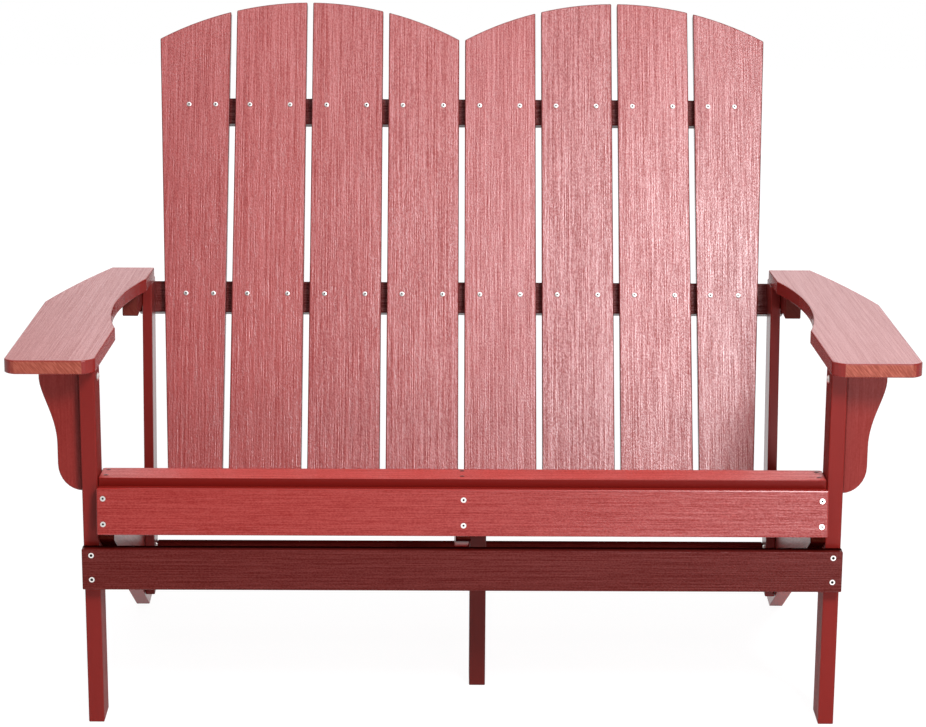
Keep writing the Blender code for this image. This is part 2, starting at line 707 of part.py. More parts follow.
def build_rails():
    half_crest = SLAT_PITCH * SLAT_COUNT / 2 - SLAT_GAP / 2
    taper = OUTER_TAPER * (SLAT_PEAK - CREST_DROP - UPPER_RAIL_START)
    upper = build_rail("back_rail_upper", UPPER_RAIL_START, UPPER_RAIL_HEIGHT,
                       half_crest - taper - UPPER_RAIL_INSET)
    middle = build_rail("back_rail_arm", ARM_RAIL_START, ARM_RAIL_HEIGHT, ARM_RAIL_LENGTH / 2)
    lower = build_rail("back_rail_lower", LOWER_RAIL_START, LOWER_RAIL_HEIGHT,
                       stringer_outer(back_point(LOWER_RAIL_START, RAIL_DEPTH)[0]))
    return upper, middle, lower


# Rear posts

def post_outline():
    top = ARM_UNDERSIDE - CLEARANCE
    depth = POST_DEPTH / math.cos(POST_ANGLE)
    return [(post_front(POST_FOOT), POST_FOOT), (post_front(POST_FOOT) + depth, POST_FOOT),
            (post_front(top) + depth, top), (post_front(top), top)]


def rail_notch():
    """The room that the arm-height rail needs, with its clearance, cut out of both posts."""
    grown = CLEARANCE
    outline = box_outline(ARM_RAIL_START - grown, ARM_RAIL_START + ARM_RAIL_HEIGHT + grown,
                          0, RAIL_THICKNESS + 2 * grown + POST_DEPTH)
    cutter = extrude_outline(outline, ARM_RAIL_LENGTH + 2 * OVERRUN)
    y, z = back_point(0, SLAT_THICKNESS)
    turn = axes((ARM_RAIL_LENGTH / 2 + OVERRUN, y, z), (0, math.sin(LEAN), math.cos(LEAN)),
                (0, math.cos(LEAN), -math.sin(LEAN)))
    cutter.name = "arm_rail_room"
    cutter.parent = frame
    cutter.matrix_local = turn
    cutter.hide_render = True
    cutter.display_type = "WIRE"
    return cutter


def build_post(side, label, notch):
    post = side_board("rear_post_" + label, post_outline(), POST_THICKNESS, POST_INNER, side)
    cut = post.modifiers.new("rail_notch", "BOOLEAN")
    cut.operation = "DIFFERENCE"
    cut.solver = "EXACT"
    cut.object = notch
    return post


def build_stretcher():
    """The board between the posts, flush with their rear faces, that carries the centre stringer."""
    half = POST_INNER - CLEARANCE
    y, z = post_point(STRETCHER_TOP - STRETCHER_HEIGHT, 0)
    outline = box_outline(-half, half, 0, STRETCHER_HEIGHT)
    placement = axes((0, y, z), (1, 0, 0), (0, math.sin(POST_ANGLE), math.cos(POST_ANGLE)))
    return board("rear_stretcher", outline, STRETCHER_THICKNESS, placement, FRAME_RED)


def build_cleat(side, label):
    top = ARM_UNDERSIDE - CLEARANCE
    outline = box_outline(CLEAT_FRONT, CLEAT_FRONT + CLEAT_LENGTH, top - CLEAT_HEIGHT, top)
    return side_board("arm_cleat_" + label, outline, CLEAT_THICKNESS, POST_OUTER + CLEARANCE, side)


SIDES = ((-1, "left"), (1, "right"))
legs = {label: build_leg(side, label) for side, label in SIDES}
arms = {label: build_arm(side, label) for side, label in SIDES}
brackets = {label: build_bracket(side, label) for side, label in SIDES}
stringers = {label: build_side_stringer(side, label) for side, label in SIDES}
stringer_centre = build_centre_stringer()
centre_leg = build_centre_leg()
apron = build_apron()
nose = build_nose()
seat_boards = build_seat()
slats = build_slats()
rails = build_rails()
notch = rail_notch()
posts = {label: build_post(side, label, notch) for side, label in SIDES}
stretcher = build_stretcher()
cleats = {label: build_cleat(side, label) for side, label in SIDES}

# Screws through the apron into the legs
for side, label in SIDES:
    x = side * (LEG_INNER + LEG_THICKNESS / 2 - APRON_SCREW_SHIFT)
    for row, z in (("upper", APRON_BOTTOM + APRON_HEIGHT - APRON_SCREW_DROP),
                   ("lower", APRON_BOTTOM + APRON_SCREW_RISE)):
        drive("apron_screw_%s_%s" % (label, row), "flat", (x, -CLEARANCE - APRON_THICKNESS, z),
              (0, 1, 0), (apron, legs[label]))

# Screws through the nose board into the ends of the three stringers
out_of_nose = Vector((0, -math.cos(TILT), math.sin(TILT)))
nose_face = Vector((0, NOSE_REAR, NOSE_BOTTOM)) + out_of_nose * NOSE_THICKNESS
nose_screw_x = STRINGER_OUTER - NOSE_SCREW_END_INSET
for label, x, target in (("left", -nose_screw_x, stringers["left"]),
                         ("centre", CENTRE_STRINGER_OFFSET, stringer_centre),
                         ("right", nose_screw_x, stringers["right"])):
    for row, along in (("upper", NOSE_HEIGHT - NOSE_SCREW_INSET), ("lower", NOSE_SCREW_INSET)):
        point = nose_face + nose_axis() * along + Vector((x, 0, 0))
        drive("nose_screw_%s_%s" % (label, row), "flat", point, -out_of_nose, (nose, target))

# Screws through the legs: a wide head up high into each bracket, pan heads into the stringers
for side, label in SIDES:
    drive("bracket_screw_" + label, "wide",
          (side * LEG_INNER, LEG_DEPTH / 2, ARM_UNDERSIDE - BRACKET_SCREW_DROP), (side, 0, 0),
          (legs[label], brackets[label]))
    for number in (1, 2):
        z = LEG_SCREW_TOP - LEG_SCREW_PITCH * (number - 1)
        drive("leg_screw_%s_%d" % (label, number), "pan", (side * LEG_OUTER, LEG_DEPTH / 2, z),
              (-side, 0, 0), (legs[label], stringers[label]))
    for number in (1, 2):
        z = POST_FOOT + POST_SCREW_RISE + POST_SCREW_PITCH * (number - 1)
        y = post_front(z) + (POST_DEPTH - STRETCHER_THICKNESS) / 2
        drive("post_screw_%s_%d" % (label, number), "pan", (side * POST_INNER, y, z),
              (side, 0, 0), (posts[label], stringers[label]))

# Screws through the centre leg into the centre stringer
leg_face = CENTRE_STRINGER_OFFSET + STRINGER_THICKNESS / 2 + CLEARANCE + CENTRE_LEG_THICKNESS
for number in (1, 2):
    y = CENTRE_LEG_FRONT + LEG_DEPTH / 2
    z = centre_underside(y) + CENTRE_LEG_OVERLAP / 2 + CENTRE_SCREW_PITCH * (number - 1.5)
    drive("centre_leg_screw_%d" % number, "pan", (leg_face, y, z), (-1, 0, 0),
          (centre_leg, stringer_centre))

bpy.context.view_layer.update()
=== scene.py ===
import math
import random

import bpy
from mathutils import Matrix, Vector


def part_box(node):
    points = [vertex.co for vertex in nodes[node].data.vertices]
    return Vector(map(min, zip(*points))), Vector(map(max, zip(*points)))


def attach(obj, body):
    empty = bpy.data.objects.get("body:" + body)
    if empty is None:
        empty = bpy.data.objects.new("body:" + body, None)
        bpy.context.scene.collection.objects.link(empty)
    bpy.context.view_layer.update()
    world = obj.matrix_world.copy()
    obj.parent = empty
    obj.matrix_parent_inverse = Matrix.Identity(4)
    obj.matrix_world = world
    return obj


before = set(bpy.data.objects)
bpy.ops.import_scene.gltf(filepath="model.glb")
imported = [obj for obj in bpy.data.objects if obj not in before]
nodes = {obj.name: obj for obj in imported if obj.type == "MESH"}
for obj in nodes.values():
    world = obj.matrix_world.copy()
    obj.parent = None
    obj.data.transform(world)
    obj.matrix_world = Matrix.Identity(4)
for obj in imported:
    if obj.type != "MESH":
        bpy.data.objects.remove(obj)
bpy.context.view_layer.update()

print("frame loaded:", len(nodes), "nodes")


def deselectAll():
    if bpy.context.mode != "OBJECT":
        bpy.ops.object.mode_set(mode="OBJECT")
    bpy.ops.object.select_all(action="DESELECT")


# angles of the boards, and where the front legs' fronts are
seat = {
    "lean": math.radians(26.5),        # the back, from upright
    "postLean": math.radians(7.1),
    "slope": math.radians(20.0),
    "firstSlope": math.radians(3.0),
    "stringerFall": math.radians(25.0),
    "front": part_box("front_leg_left")[0][1],
}
backOut = Vector((0, -math.cos(seat["lean"]), math.sin(seat["lean"])))
backUp = Vector((0, math.sin(seat["lean"]), math.cos(seat["lean"])))


# camera, solved from the edges in the photo

cameraSpot = {
    "place": (-0.0296, -3.7887, 1.5681),   # Y from the front legs' fronts
    "down": 15.3281,
    "yaw": 0.434,
    "roll": 0.3519,
    "lens": 111.385, "sensor": 36, "reach": 60,
}


def addCamera(spot):
    deselectAll()
    turn = (Matrix.Rotation(math.radians(-spot["yaw"]), 4, "Z")
            @ Matrix.Rotation(math.radians(90 - spot["down"]), 4, "X")
            @ Matrix.Rotation(math.radians(spot["roll"]), 4, "Z"))
    x, y, z = spot["place"]
    bpy.ops.object.camera_add(location=(x, y + seat["front"], z), rotation=turn.to_euler())
    camera = bpy.context.object
    camera.name = "photoCamera"
    camera.data.lens = spot["lens"]
    camera.data.sensor_width = spot["sensor"]
    camera.data.clip_end = spot["reach"]
    bpy.context.scene.camera = camera


addCamera(cameraSpot)
bpy.context.scene.view_settings.view_transform = "Standard"
print("camera placed")


# small helpers for node trees

def addNode(tree, kind, inputs=None, **settings):
    made = tree.nodes.new(kind)
    for name, value in settings.items():
        setattr(made, name, value)
    for socket, value in (inputs or {}).items():
        if isinstance(value, bpy.types.NodeSocket):
            tree.links.new(value, made.inputs[socket])
        else:
            made.inputs[socket].default_value = value
    return made


def mathNode(tree, operation, first, second=0.0, third=0.0):
    made = addNode(tree, "ShaderNodeMath", {0: first, 1: second, 2: third}, operation=operation)
    return made.outputs[0]


def rangeNode(tree, value, fromLow, fromHigh, toLow, toHigh):
    made = addNode(tree, "ShaderNodeMapRange",
                   {"Value": value, "From Min": fromLow, "From Max": fromHigh,
                    "To Min": toLow, "To Max": toHigh})
    return made.outputs["Result"]


def mixColour(tree, share, first, second, blend="MIX"):
    made = addNode(tree, "ShaderNodeMix", data_type="RGBA", blend_type=blend)
    for socket, value in ((0, share), (6, first), (7, second)):
        if isinstance(value, bpy.types.NodeSocket):
            tree.links.new(value, made.inputs[socket])
        else:
            made.inputs[socket].default_value = value
    return made.outputs[2]


def newMaterial(name):
    material = bpy.data.materials.new(name)
    material.use_nodes = True
    material.node_tree.nodes.clear()
    return material, material.node_tree


# room, lamps and floor

studio = {
    "diffuseLevel": 0.22,                  # what the room gives to matt surfaces
    "behindLevel": 1.0,                    # what shiny surfaces see behind the seat,
    "highLevel": 0.80,                     # high up in front of it
    "lowLevel": 0.30,                      # and low in front of it
    "rise": (0.15, 0.60),                  # how far up a direction points, from low to high
    "turn": (-0.5, 0.4),                   # how far back it points, from in front to behind
    "key": {"place": (1.22, -2.95, 3.02), "aim": (0.1, 0.1, 0.5),
            "size": (0.9, 0.9), "watts": 130},
    "top": {"place": (-0.4, -1.2, 3.4), "aim": (0.0, 0.1, 0.3),
            "size": (2.4, 2.0), "watts": 40},
    "rear": {"place": (0.35, 4.2, 2.6), "aim": (0.1, 0.0, 0.5),
             "size": (3.2, 1.9), "watts": 42},
    "low": {"place": (1.15, -3.5, 0.35), "aim": (0.3, -0.3, 0.3),
            "size": (0.7, 0.7), "watts": 27},
    "tint": (0.98, 0.965, 1.0),
}


def addSoftbox(name, box):
    deselectAll()
    place = Vector(box["place"])
    turn = (Vector(box["aim"]) - place).to_track_quat("-Z", "Y").to_euler()
    bpy.ops.object.light_add(type="AREA", location=place, rotation=turn)
    lamp = bpy.context.object
    lamp.name = name + "Softbox"
    lamp.data.shape = "RECTANGLE"
    lamp.data.size, lamp.data.size_y = box["size"]
    lamp.data.energy = box["watts"]
    lamp.data.color = studio["tint"]


for lampName in ("key", "top", "rear", "low"):
    addSoftbox(lampName, studio[lampName])


def makeRoom():
    world = bpy.data.worlds.new("room")
    bpy.context.scene.world = world
    world.use_nodes = True
    tree = world.node_tree
    tree.nodes.clear()
    path = addNode(tree, "ShaderNodeLightPath")
    shiny = mathNode(tree, "MAXIMUM", path.outputs["Is Glossy Ray"],
                     path.outputs["Is Transmission Ray"])
    direction = addNode(tree, "ShaderNodeTexCoord").outputs["Generated"]
    split = addNode(tree, "ShaderNodeSeparateXYZ", {0: direction})
    front = rangeNode(tree, split.outputs["Z"], *studio["rise"],
                      studio["lowLevel"], studio["highLevel"])
    behind = rangeNode(tree, split.outputs["Y"], *studio["turn"], front, studio["behindLevel"])
    level = mathNode(tree, "MULTIPLY_ADD", shiny,
                     mathNode(tree, "SUBTRACT", behind, studio["diffuseLevel"]),
                     studio["diffuseLevel"])
    seen = path.outputs["Is Camera Ray"]
    level = mathNode(tree, "MULTIPLY_ADD", seen, mathNode(tree, "SUBTRACT", 1.0, level), level)
    light = addNode(tree, "ShaderNodeBackground", {"Color": (1, 1, 1, 1), "Strength": level})
    addNode(tree, "ShaderNodeOutputWorld", {"Surface": light.outputs[0]})


# the camera and shiny surfaces see a glowing floor with soft shadows, and the rest a plain one
floorLook = {"size": 9.0, "place": (0, 0.8, -0.0004),
             "colour": (0.82, 0.82, 0.82, 1), "seenDiffuse": 0.15,
             "nearGlow": 0.955, "farGlow": 1.0, "near": 0.9, "far": 2.4}


def makeFloor():
    deselectAll()
    bpy.ops.mesh.primitive_plane_add(size=floorLook["size"], location=floorLook["place"])
    floor = bpy.context.object
    floor.name = "paleFloor"
    bpy.ops.object.transform_apply(location=True, rotation=True, scale=True)
    material, tree = newMaterial("paleFloor")
    path = addNode(tree, "ShaderNodeLightPath")
    seen = mathNode(tree, "MAXIMUM", path.outputs["Is Camera Ray"], mathNode(
        tree, "MAXIMUM", path.outputs["Is Glossy Ray"], path.outputs["Is Transmission Ray"]))
    plain = addNode(tree, "ShaderNodeBsdfDiffuse", {"Color": floorLook["colour"]})
    level = floorLook["seenDiffuse"]
    pale = addNode(tree, "ShaderNodeBsdfDiffuse", {"Color": (level, level, level, 1)})
    place = addNode(tree, "ShaderNodeTexCoord").outputs["Object"]
    reach = addNode(tree, "ShaderNodeVectorMath", {0: place}, operation="LENGTH").outputs["Value"]
    lift = rangeNode(tree, reach, floorLook["near"], floorLook["far"],
                     floorLook["nearGlow"], floorLook["farGlow"])
    glow = addNode(tree, "ShaderNodeEmission", {"Strength": lift})
    white = addNode(tree, "ShaderNodeAddShader", {0: pale.outputs[0], 1: glow.outputs[0]})
    mix = addNode(tree, "ShaderNodeMixShader",
                  {0: seen, 1: plain.outputs[0], 2: white.outputs[0]})
    addNode(tree, "ShaderNodeOutputMaterial", {"Surface": mix.outputs[0]})
    floor.data.materials.append(material)


makeRoom()
makeFloor()
print("room, lamps and floor ready")


# the boards: red lumber, its broad faces embossed with a fine grain that runs along each board

grainLook = {
    "seed": 40, "shift": 9.0,                     # each board has its own place in the pattern
    "roughness": 0.55,                            # of all noises
    "figureAcross": 17.0, "figureAlong": 2.6,     # per metre
    "swing": 0.0020,                              # how far the figure bends the grain, metres
    "dashSpan": (0.34, 0.66),
    "lineAcross": 1.05, "lineAlong": 0.15,        # compared with the dashes
    "speckle": 560.0, "speckleAlong": 0.6, "speckleSpan": (0.36, 0.64),
    "dashWeight": 0.26, "lineWeight": 0.42, "speckleWeight": 0.32,
    "ridgeHeight": 0.27,                          # of full ridges, and of furrows below the middle
    "depth": 0.00040, "strength": 0.65,           # metres, and how much of them the light shows
    "broadSpan": (0.90, 0.97), "endSpan": (0.90, 0.97),   # cosines at which such a face begins
}

sawnLook = {
    "low": (0.250, 0.045, 0.022, 1), "high": (0.430, 0.115, 0.070, 1),
    "across": 620.0, "along": 70.0, "deep": 30.0, "turn": math.radians(40),
    "span": (0.42, 0.70), "rough": 0.30,
}

# colours and shine are compared with the board's own, and roughness is added to it
toneLook = {
    "spread": (0.96, 1.05),                       # from board to board
    # the ridges' paler, pinker colour is partly grain and partly painted sheen
    "furrow": (0.74, 0.62, 0.62), "ridge": (1.22, 1.45, 1.45),
    "drift": (1.10, 1.50, 1.10), "driftShare": 0.18,
    "driftAcross": 7.0, "driftAlong": 1.4, "driftSpan": (0.35, 0.65),
    "unlit": 0.15,                                # edges in deep shade
    "seam": 0.06, "seamSpan": (0.70, 0.80), "seamSamples": 6,
    "furrowRough": 0.07, "ridgeRough": -0.04,
    "furrowShine": 0.45, "ridgeShine": 1.45,
    "edgeRough": 0.24, "coatRough": 0.20,         # not compared
}

# dash and across: how often the grain changes along and across the board, per metre
# edge and edgeShine: the smooth edges' colour and shine, compared with the faces'; the colour is
# painted shade on slat and seat board edges and painted light on stringer undersides
# edgeRough: the edges' roughness, where it isn't the usual one
# sawn: how brown the sawn ends are, coat: a second shine on the broad faces
# seam: how far the shade of a joint reaches, metres
# lit: over which stretch, in Y, the edges turn from deep shade to open
# round: between which cosines the rounded edge turns from an edge into a broad face
# all looks are one red lumber: their colours differ as painted shade and light, darker copies for
# the parts in shade, a lighter one for the seat boards
boardLooks = {
    "slat": {"colour": (0.276, 0.0150, 0.012), "rough": 0.335, "specular": 0.72, "grain": 0.72,
             "dash": 34.0, "across": 820.0, "edge": 0.40, "edgeShine": 1.0, "sawn": 0.3},
    "arm": {"colour": (0.292, 0.015, 0.011), "rough": 0.33, "specular": 0.66, "grain": 0.5,
            "dash": 22.0, "across": 760.0, "edge": 0.72, "edgeShine": 0.55, "sawn": 0.85},
    "front": {"colour": (0.276, 0.013, 0.009), "rough": 0.36, "specular": 0.60, "grain": 0.62,
              "dash": 48.0, "across": 760.0, "edge": 1.0, "edgeShine": 0.7, "sawn": 0.4},
    "seat": {"colour": (0.480, 0.024, 0.017), "rough": 0.40, "specular": 1.3, "grain": 1.0,
             "dash": 34.0, "across": 620.0, "edge": 0.33, "edgeShine": 0.07, "sawn": 0.2},
    "leg": {"colour": (0.190, 0.012, 0.009), "rough": 0.52, "specular": 0.10, "grain": 0.6,
            "dash": 36.0, "across": 600.0, "edge": 1.0, "edgeShine": 1.6, "sawn": 0.3},
    "frame": {"colour": (0.215, 0.012, 0.008), "rough": 0.42, "specular": 0.28, "grain": 0.25,
              "dash": 60.0, "across": 600.0, "edge": 1.0, "edgeShine": 0.8, "sawn": 0.2,
              "seam": 0.006},
    "stringer": {"colour": (0.245, 0.014, 0.011), "rough": 0.32, "specular": 0.55, "grain": 0.4,
                 "dash": 60.0, "across": 600.0, "edge": 1.30, "edgeShine": 0.09, "sawn": 0.15,
                 "coat": 0.06, "edgeRough": 0.36, "lit": (-0.27, -0.10)},
    "apron": {"colour": (0.106, 0.0085, 0.0065), "rough": 0.40, "specular": 0.19, "grain": 0.8,
              "dash": 26.0, "across": 640.0, "edge": 0.95, "edgeShine": 0.3, "sawn": 0.4,
              "round": (0.30, 0.55), "lit": (-0.356, -0.3615)},
    "shadedDark": {"colour": (0.125, 0.011, 0.008), "rough": 0.40, "specular": 0.22, "grain": 0.6,
             "dash": 30.0, "across": 500.0, "edge": 0.9, "edgeShine": 0.7, "sawn": 0.4},
    "stretcher": {"colour": (0.105, 0.008, 0.006), "rough": 0.60, "specular": 0.04, "grain": 0.6,
                  "dash": 30.0, "across": 500.0, "edge": 0.9, "edgeShine": 0.0, "sawn": 0.4,
                  "edgeRough": 0.7},
    "post": {"colour": (0.190, 0.012, 0.009), "rough": 0.34, "specular": 0.7, "grain": 0.4,
             "dash": 30.0, "across": 500.0, "edge": 0.95, "edgeShine": 0.31, "sawn": 0.3,
             "coat": 0.22, "edgeRough": 0.4},
    "rail": {"colour": (0.088, 0.005, 0.004), "rough": 0.40, "specular": 0.14, "grain": 1.0,
             "dash": 26.0, "across": 500.0, "edge": 1.0, "edgeShine": 1.0, "sawn": 0.3},
}

# turn: about X then Y, in radians, so that the grain lies along the pattern's Z
# face: the direction that the broad faces look in
armToe = math.radians(3.0)
runs = {
    "slat": {"turn": (seat["lean"], 0.0), "face": backOut},
    "rail": {"turn": (0.0, -math.pi / 2), "face": backOut},
    "seatBoard": {"turn": (0.0, -math.pi / 2),
                  "face": Vector((0, math.sin(seat["slope"]), math.cos(seat["slope"])))},
    "firstBoard": {"turn": (0.0, -math.pi / 2), "face": Vector((0, 0, 1))},
    "across": {"turn": (0.0, -math.pi / 2), "face": Vector((0, 1, 0))},
    "leftArm": {"turn": (math.pi / 2, -armToe), "face": Vector((0, 0, 1))},
    "rightArm": {"turn": (math.pi / 2, armToe), "face": Vector((0, 0, 1))},
    "bracket": {"turn": (0.0, 0.0), "face": Vector((0, 1, 0))},
    "cleat": {"turn": (math.pi / 2, 0.0), "face": Vector((1, 0, 0))},
    "leg": {"turn": (0.0, 0.0), "face": Vector((1, 0, 0))},
    "post": {"turn": (seat["postLean"], 0.0), "face": Vector((1, 0, 0))},
    "fall": {"turn": (math.pi / 2 + seat["stringerFall"], 0.0), "face": Vector((1, 0, 0))},
    "slope": {"turn": (math.pi / 2 + seat["slope"], 0.0), "face": Vector((1, 0, 0))},
}


def boardFinish(name, look, run, seed):
    material, tree = newMaterial(name)
    dice = random.Random(seed)
    turn = run["turn"]
    shift = grainLook["shift"]
    place = addNode(tree, "ShaderNodeTexCoord").outputs["Object"]
    level = addNode(tree, "ShaderNodeMapping", {
        "Vector": place, "Rotation": (turn[0], turn[1], 0),
        "Location": tuple(dice.uniform(-shift, shift) for axis in range(3))}).outputs[0]

    def scaled(vector, across, length):
        return addNode(tree, "ShaderNodeMapping",
                       {"Vector": vector, "Scale": (across, across, length)}).outputs[0]

    def noise(vector, detail):
        return addNode(tree, "ShaderNodeTexNoise", {
            "Vector": vector, "Scale": 1.0, "Detail": detail,
            "Roughness": grainLook["roughness"]})

    def noiseShare(vector, detail, span):
        return share(noise(vector, detail).outputs["Fac"], span)

    def share(value, span):
        return rangeNode(tree, value, *span, 0.0, 1.0)

    # broad faces are embossed, edges are smooth, and sawn ends are browner and duller
    facing = addNode(tree, "ShaderNodeNewGeometry").outputs["Normal"]
    back = (Matrix.Rotation(turn[1], 3, "Y") @ Matrix.Rotation(turn[0], 3, "X")).inverted()

    def towards(direction, span):
        dot = addNode(tree, "ShaderNodeVectorMath", {0: facing, 1: direction},
                      operation="DOT_PRODUCT").outputs["Value"]
        return share(mathNode(tree, "ABSOLUTE", dot), span)

    broad = towards(run["face"], look.get("round", grainLook["broadSpan"]))
    ends = towards(back @ Vector((0, 0, 1)), grainLook["endSpan"])

    # height of the embossing: dashes, fine long lines and speckle
    figure = noise(scaled(level, grainLook["figureAcross"], grainLook["figureAlong"]), detail=2.0)
    centred = addNode(tree, "ShaderNodeVectorMath",
                      {0: figure.outputs["Color"], 1: (0.5, 0.5, 0.5)}, operation="SUBTRACT")
    swing = addNode(tree, "ShaderNodeVectorMath",
                    {0: centred.outputs[0], "Scale": grainLook["swing"]}, operation="SCALE")
    bent = addNode(tree, "ShaderNodeVectorMath", {0: level, 1: swing.outputs[0]}).outputs[0]
    dashes = noiseShare(scaled(bent, look["across"], look["dash"]), 1.0, grainLook["dashSpan"])
    lines = noiseShare(scaled(bent, look["across"] * grainLook["lineAcross"],
                              look["dash"] * grainLook["lineAlong"]), 1.0, grainLook["dashSpan"])
    speckle = noiseShare(scaled(level, grainLook["speckle"],
                                grainLook["speckle"] * grainLook["speckleAlong"]),
                         1.0, grainLook["speckleSpan"])
    height = mathNode(tree, "MULTIPLY", dashes, grainLook["dashWeight"])
    height = mathNode(tree, "MULTIPLY_ADD", lines, grainLook["lineWeight"], height)
    height = mathNode(tree, "MULTIPLY_ADD", speckle, grainLook["speckleWeight"], height)
    embossed = mathNode(tree, "MULTIPLY", mathNode(tree, "SUBTRACT", height, 0.5), broad)
    embossed = mathNode(tree, "MULTIPLY", embossed, look["grain"])
    ridge = share(embossed, (-grainLook["ridgeHeight"], grainLook["ridgeHeight"]))

    # colour: furrows are deeper red and ridges paler and pinker, partly grain and partly painted
    # sheen, and each board has a tone of its own
    tone = dice.uniform(*toneLook["spread"])
    own = [part * tone for part in look["colour"]]

    def tinted(shares):
        return tuple(part * much for part, much in zip(own, shares)) + (1,)

    colour = mixColour(tree, ridge, tinted(toneLook["furrow"]), tinted(toneLook["ridge"]))
    drift = noiseShare(scaled(level, toneLook["driftAcross"], toneLook["driftAlong"]),
                       1.0, toneLook["driftSpan"])
    colour = mixColour(tree, mathNode(tree, "MULTIPLY", drift, toneLook["driftShare"]),
                       colour, tinted(toneLook["drift"]))
    # edge colours: painted shade on the slats' and seat boards' edges, painted light on the
    # stringers' pale undersides
    smooth = tinted([look["edge"]] * 3)
    # painted shade along Y: the stringers' undersides darken towards the front, the apron's top
    # towards the rear, and lose their shine there
    lit = 1.0
    if "lit" in look:
        along = addNode(tree, "ShaderNodeSeparateXYZ", {0: place}).outputs["Y"]
        lit = share(along, look["lit"])
        smooth = mixColour(tree, lit, tinted([toneLook["unlit"]] * 3), smooth)
    colour = mixColour(tree, broad, smooth, colour)

    # saw marks on the ends, darker on a darker board, so they carry its painted shade too
    slanted = addNode(tree, "ShaderNodeMapping", {
        "Vector": level, "Rotation": (0, 0, sawnLook["turn"])}).outputs[0]
    slanted = addNode(tree, "ShaderNodeMapping", {"Vector": slanted, "Scale": (
        sawnLook["across"], sawnLook["along"], sawnLook["deep"])}).outputs[0]
    marks = noiseShare(slanted, 2.0, sawnLook["span"])
    sawn = mixColour(tree, marks, sawnLook["low"], sawnLook["high"])
    darkness = look["colour"][0] / boardLooks["arm"]["colour"][0]
    sawn = mixColour(tree, 1.0, sawn, (darkness, darkness, darkness, 1), "MULTIPLY")
    colour = mixColour(tree, mathNode(tree, "MULTIPLY", ends, look["sawn"]), colour, sawn)

    # painted shade: a dark line where the board meets a neighbour, found by ambient occlusion,
    # which also dims the shine there
    clear = 1.0
    if "seam" in look:
        shade = addNode(tree, "ShaderNodeAmbientOcclusion", {"Distance": look["seam"]},
                        samples=toneLook["seamSamples"])
        clear = share(shade.outputs["AO"], toneLook["seamSpan"])
        colour = mixColour(tree, clear, tinted([toneLook["seam"]] * 3), colour)

    rough = rangeNode(tree, ridge, 0.0, 1.0, look["rough"] + toneLook["furrowRough"],
                      look["rough"] + toneLook["ridgeRough"])
    rough = rangeNode(tree, broad, 0.0, 1.0, look.get("edgeRough", toneLook["edgeRough"]), rough)
    rough = mathNode(tree, "MULTIPLY_ADD", ends, sawnLook["rough"], rough)
    shine = rangeNode(tree, ridge, 0.0, 1.0, look["specular"] * toneLook["furrowShine"],
                      look["specular"] * toneLook["ridgeShine"])
    shine = rangeNode(tree, broad, 0.0, 1.0, mathNode(
        tree, "MULTIPLY", lit, look["specular"] * look["edgeShine"]), shine)
    shine = mathNode(tree, "MULTIPLY", shine, clear)
    bump = addNode(tree, "ShaderNodeBump", {
        "Strength": grainLook["strength"], "Distance": grainLook["depth"], "Height": embossed})
    shader = addNode(tree, "ShaderNodeBsdfPrincipled", {
        "Base Color": colour, "Roughness": rough, "Normal": bump.outputs[0]})
    # kept by the export
    shader.inputs["Specular IOR Level"].default_value = look["specular"]   # also set as a plain value under the link
    tree.links.new(shine, shader.inputs["Specular IOR Level"])
    if "coat" in look:
        tree.links.new(mathNode(tree, "MULTIPLY", broad, look["coat"]),
                       shader.inputs["Coat Weight"])
        shader.inputs["Coat Roughness"].default_value = toneLook["coatRough"]
    addNode(tree, "ShaderNodeOutputMaterial", {"Surface": shader.outputs[0]})
    return material


# which look and which run each board has, by the start of its name
boardGroups = [
    ("back_slat_", "slat", "slat"),
    ("back_rail_", "rail", "rail"),
    ("seat_board_1", "seat", "firstBoard"),
    ("seat_board_", "seat", "seatBoard"),
    ("nose_board", "front", "across"),
    ("apron", "apron", "across"),
    ("rear_stretcher", "stretcher", "across"),
    ("arm_bracket_", "frame", "bracket"),
    ("arm_cleat_", "shadedDark", "cleat"),
    ("arm_left", "arm", "leftArm"),
    ("arm_right", "arm", "rightArm"),
    ("front_leg_", "leg", "leg"),
    ("centre_leg", "shadedDark", "leg"),
    ("rear_post_", "post", "post"),
    ("stringer_centre", "stringer", "slope"),
    ("stringer_", "stringer", "fall"),
]


def setMaterial(piece, material):
    piece.data.materials.clear()
    piece.data.materials.append(material)


def finishBoards():
    done = 0
    for number, name in enumerate(sorted(nodes)):
        if "_screw_" in name:
            continue
        for start, look, direction in boardGroups:
            if name.startswith(start):
                setMaterial(nodes[name], boardFinish(name + "Lumber", boardLooks[look],
                                                     runs[direction], grainLook["seed"] + number))
                done += 1
                break
    print("boards finished:", done)


finishBoards()


# screws

steelLook = {
    "colour": (0.93, 0.90, 0.87), "worn": (0.84, 0.83, 0.82), "wornSpan": (0.35, 0.7),
    "rough": 0.36, "roughSpan": (0.3, 0.7), "smoother": -0.08, "rougher": 0.12,
    "scratch": 900.0, "scratchDetail": 3.0, "scratchBump": 0.25, "scratchDepth": 0.0001,
    "socket": (0.012, 0.008, 0.008, 1), "shadeSamples": 6,
}

# level: brightness, lower on the back screws as painted shade, hollow: how far the shade in a
# socket reaches, in metres
# clearness: where that shade starts and ends
steels = {
    "screwSteel": {"level": 1.0, "hollow": 0.0035, "clearness": (0.60, 0.90)},
    "backSteel": {"level": 0.50, "hollow": 0.005, "clearness": (0.80, 0.98)},
}


